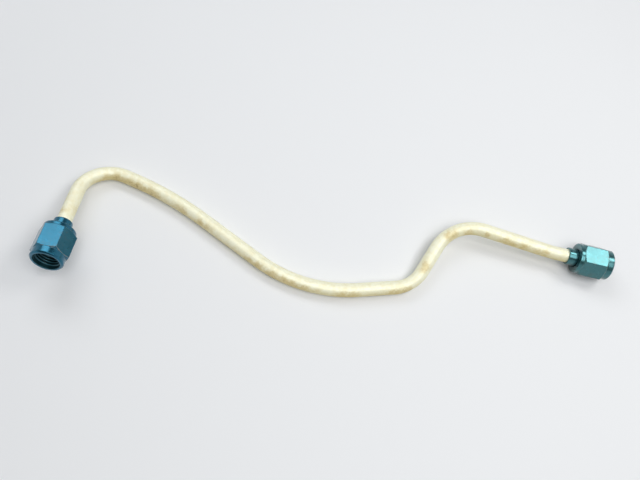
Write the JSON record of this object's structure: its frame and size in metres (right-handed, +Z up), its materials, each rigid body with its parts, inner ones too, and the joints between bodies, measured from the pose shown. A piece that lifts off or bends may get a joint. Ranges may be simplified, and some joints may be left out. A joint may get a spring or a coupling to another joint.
{
  "type": "fuel line",
  "caption": "Bent hard fuel line: a slim metal tube flared at its ends, each end with a sleeve and a hexagonal coupling nut.",
  "frame": {"origin": "on the floor under the middle of the line's outline seen from above, as the line lies at rest", "axes": "+X along the right nut's axis, out of its mouth, and along the line's length; +Z up from the floor"},
  "size_m": [0.2549, 0.072, 0.0242],
  "materials": {
    "tube": "satin pale plating with yellow-brown stains",
    "fittings": "blue anodised, satin, edges worn grey-brown"
  },
  "bodies": {
    "tube": {"tube": "tube"},
    "left_sleeve": {"left_sleeve": "fittings"},
    "left_nut": {"left_nut": "fittings"},
    "right_sleeve": {"right_sleeve": "fittings"},
    "right_nut": {"right_nut": "fittings"}
  },
  "joints": [
    {"name": "left_sleeve_slide", "type": "slide", "parent": "tube", "child": "left_sleeve", "axis": [-0.0405, 0.9669, -0.2521], "range_m": [0, 0.0182]},
    {"name": "left_nut_spin", "type": "hinge", "parent": "left_sleeve", "child": "left_nut", "pos_m": [-0.1186, -0.03432, 0.01749], "axis": [0.0405, -0.9669, 0.2521], "continuous": true},
    {"name": "right_sleeve_slide", "type": "slide", "parent": "tube", "child": "right_sleeve", "axis": [-1, 0, 0], "range_m": [0, 0.0048]},
    {"name": "right_nut_spin", "type": "hinge", "parent": "right_sleeve", "child": "right_nut", "pos_m": [0.1275, 0.0277, 0.00715], "axis": [1, 0, 0], "continuous": true}
  ]
}
